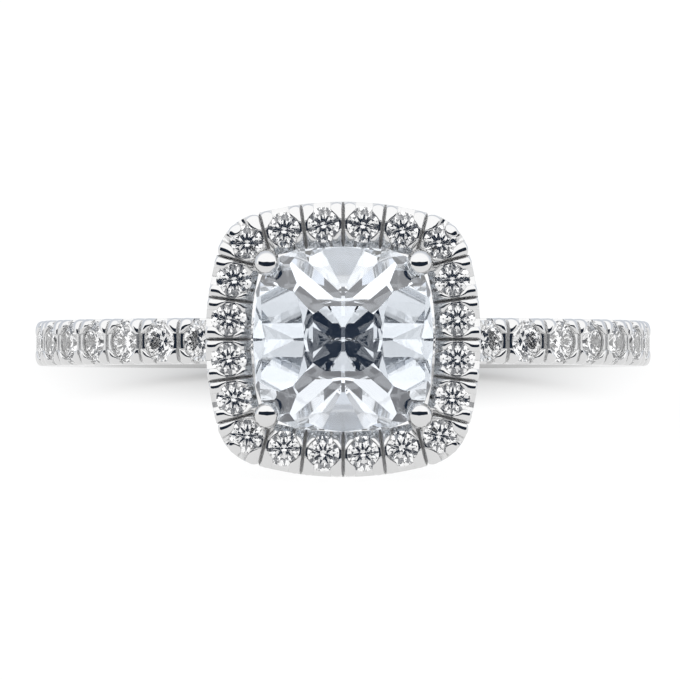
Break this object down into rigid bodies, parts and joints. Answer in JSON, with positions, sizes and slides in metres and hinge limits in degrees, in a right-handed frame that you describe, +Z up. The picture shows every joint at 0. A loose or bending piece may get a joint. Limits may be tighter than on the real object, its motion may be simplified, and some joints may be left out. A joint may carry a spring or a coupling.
{
  "type": "white gold halo ring",
  "caption": "White gold ring with a cushion-cut stone in four domed claws, a halo of small round stones and a stone-set shank.",
  "frame": {"origin": "on the surface the ring lies on, under the middle of its bounding box", "axes": "+Z up, the finger's axis leaning 9.2 degrees from it; -Y is the way the head faces; +X across the ring"},
  "size_m": [0.0206, 0.0252, 0.0088],
  "materials": {
    "white_gold": "polished",
    "cushion_stone": "polished",
    "round_stone": "polished"
  },
  "bodies": {
    "root": {"ring_mount": "white_gold", "centre_stone": "cushion_stone", "halo_stone_1": "round_stone", "halo_stone_2": "round_stone", "halo_stone_3": "round_stone", "halo_stone_4": "round_stone", "halo_stone_5": "round_stone", "halo_stone_6": "round_stone", "halo_stone_7": "round_stone", "halo_stone_8": "round_stone", "halo_stone_9": "round_stone", "halo_stone_10": "round_stone", "halo_stone_11": "round_stone", "halo_stone_12": "round_stone", "halo_stone_13": "round_stone", "halo_stone_14": "round_stone", "halo_stone_15": "round_stone", "halo_stone_16": "round_stone", "halo_stone_17": "round_stone", "halo_stone_18": "round_stone", "halo_stone_19": "round_stone", "halo_stone_20": "round_stone", "shank_stone_left_1": "round_stone", "shank_stone_left_2": "round_stone", "shank_stone_left_3": "round_stone", "shank_stone_left_4": "round_stone", "shank_stone_left_5": "round_stone", "shank_stone_left_6": "round_stone", "shank_stone_left_7": "round_stone", "shank_stone_left_8": "round_stone", "shank_stone_right_1": "round_stone", "shank_stone_right_2": "round_stone", "shank_stone_right_3": "round_stone", "shank_stone_right_4": "round_stone", "shank_stone_right_5": "round_stone", "shank_stone_right_6": "round_stone", "shank_stone_right_7": "round_stone", "shank_stone_right_8": "round_stone"}
  },
  "joints": []
}
